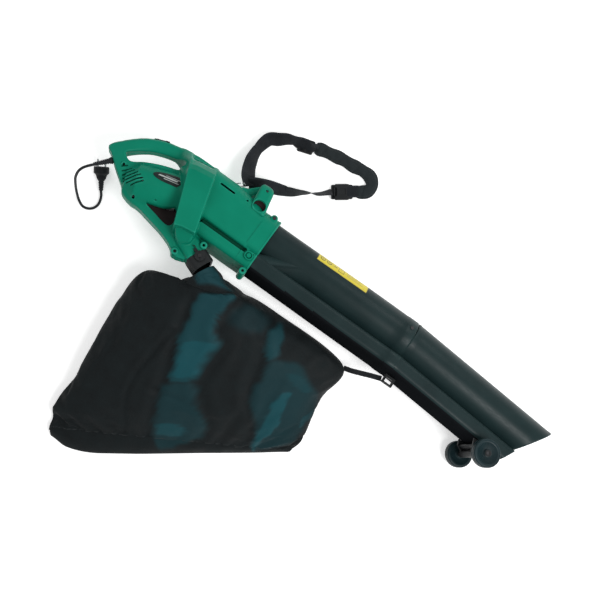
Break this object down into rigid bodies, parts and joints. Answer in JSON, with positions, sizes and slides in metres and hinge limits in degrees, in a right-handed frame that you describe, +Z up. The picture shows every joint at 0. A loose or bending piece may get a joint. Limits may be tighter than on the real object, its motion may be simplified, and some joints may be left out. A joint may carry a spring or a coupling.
{
  "type": "leaf vacuum mulcher",
  "caption": "Electric leaf vacuum mulcher on its side: green fan housing with loop handle, double tube on wheels, cloth collection bag, shoulder strap and mains lead.",
  "frame": {"origin": "bottom centre of the object as it lies on the floor, without its mains lead", "axes": "+X along the suction tube towards the nozzle, +Y towards the side of the main handle, +Z up from the floor"},
  "size_m": [1.3051, 1.008, 0.2062],
  "materials": {
    "green_abs": "satin moulded",
    "tube_plastic": "satin moulded, fine grain",
    "black_plastic": "fine grain",
    "wheel_plastic": "satin",
    "steel": "brushed",
    "zinc": "die cast",
    "laminations": "stacked sheet",
    "copper": "wound",
    "carbon": "sintered",
    "wire_blue": "satin",
    "film_yellow": "printed film",
    "badge_black": "satin",
    "cord_rubber": "satin",
    "bag_cloth": "coated woven polyester",
    "webbing": "woven polypropylene",
    "capacitor_white": "gloss"
  },
  "bodies": {
    "machine": {"housing_near": "green_abs", "housing_far": "green_abs", "housing_screws": "steel", "collar_bolts": "steel", "front_handle": "green_abs", "front_handle_screws": "steel", "fan_backplate": "green_abs", "motor_can": "steel", "field_pack": "laminations", "front_bracket": "zinc", "rear_bracket": "zinc", "brush_holders": "copper", "carbon_brushes": "carbon", "front_bearing": "steel", "rear_bearing": "steel", "rocker_switch_body": "black_plastic", "capacitor": "capacitor_white", "inner_wiring": "wire_blue", "cord_clamp": "black_plastic", "strain_relief": "cord_rubber", "power_cord": "cord_rubber", "plug_body": "cord_rubber", "plug_pins": "steel", "upper_tube": "tube_plastic", "lower_tube": "tube_plastic", "tube_screws": "steel", "caution_label": "film_yellow", "side_badge": "badge_black", "wheel_bracket": "black_plastic", "axle": "steel", "axle_clips": "steel", "wheel_caps": "steel", "bag_collar": "black_plastic", "latch_pin": "steel", "collection_bag": "bag_cloth", "bag_zip": "webbing", "bag_strap": "webbing", "strap_hook": "black_plastic", "strap_lug": "steel", "strap_web_upper": "webbing", "strap_slider": "black_plastic", "shoulder_pad": "webbing", "strap_buckle": "black_plastic", "strap_web_lower": "webbing"},
    "rotor": {"armature": "laminations", "commutator": "copper", "motor_shaft": "steel", "cooling_fan": "black_plastic", "impeller": "black_plastic", "impeller_nut": "steel"},
    "near_wheel": {"wheel_near": "wheel_plastic"},
    "far_wheel": {"wheel_far": "wheel_plastic"},
    "switch": {"rocker_switch": "black_plastic"},
    "selector": {"selector_knob": "green_abs", "selector_shaft": "steel", "diverter_flap": "black_plastic"},
    "latch": {"bag_latch": "black_plastic"},
    "zip_pull": {"zip_slider": "steel"},
    "ring": {"strap_ring": "steel"}
  },
  "joints": [
    {"name": "rotor_spin", "type": "hinge", "parent": "machine", "child": "rotor", "pos_m": [-0.39663, 0.17314, 0.10895], "axis": [0.9202, 0.3582, -0.1579], "continuous": true},
    {"name": "wheel_near_spin", "type": "hinge", "parent": "machine", "child": "near_wheel", "pos_m": [0.49668, 0.08729, 0.168], "axis": [-0.05, -0.2924, -0.955], "continuous": true},
    {"name": "wheel_far_spin", "type": "hinge", "parent": "machine", "child": "far_wheel", "pos_m": [0.48908, 0.04285, 0.02284], "axis": [-0.05, -0.2924, -0.955], "continuous": true},
    {"name": "switch_rock", "type": "hinge", "parent": "machine", "child": "switch", "pos_m": [-0.54134, 0.23853, 0.09652], "axis": [-0.05, -0.2924, -0.955], "range_deg": [0, 8]},
    {"name": "selector_turn", "type": "hinge", "parent": "machine", "child": "selector", "pos_m": [-0.21309, 0.12341, 0.11456], "axis": [-0.05, -0.2924, -0.955], "range_deg": [0, 90]},
    {"name": "latch_turn", "type": "hinge", "parent": "machine", "child": "latch", "pos_m": [-0.30292, 0.06373, 0.13754], "axis": [-0.05, -0.2924, -0.955], "range_deg": [0, 60]},
    {"name": "zip_slide", "type": "slide", "parent": "machine", "child": "zip_pull", "axis": [0.8635, 0.5043, 0], "range_m": [0, 0.44]},
    {"name": "ring_swing", "type": "hinge", "parent": "machine", "child": "ring", "pos_m": [-0.34413, 0.26207, 0.07897], "axis": [-0.05, -0.2924, -0.955], "range_deg": [-12, 15]}
  ]
}
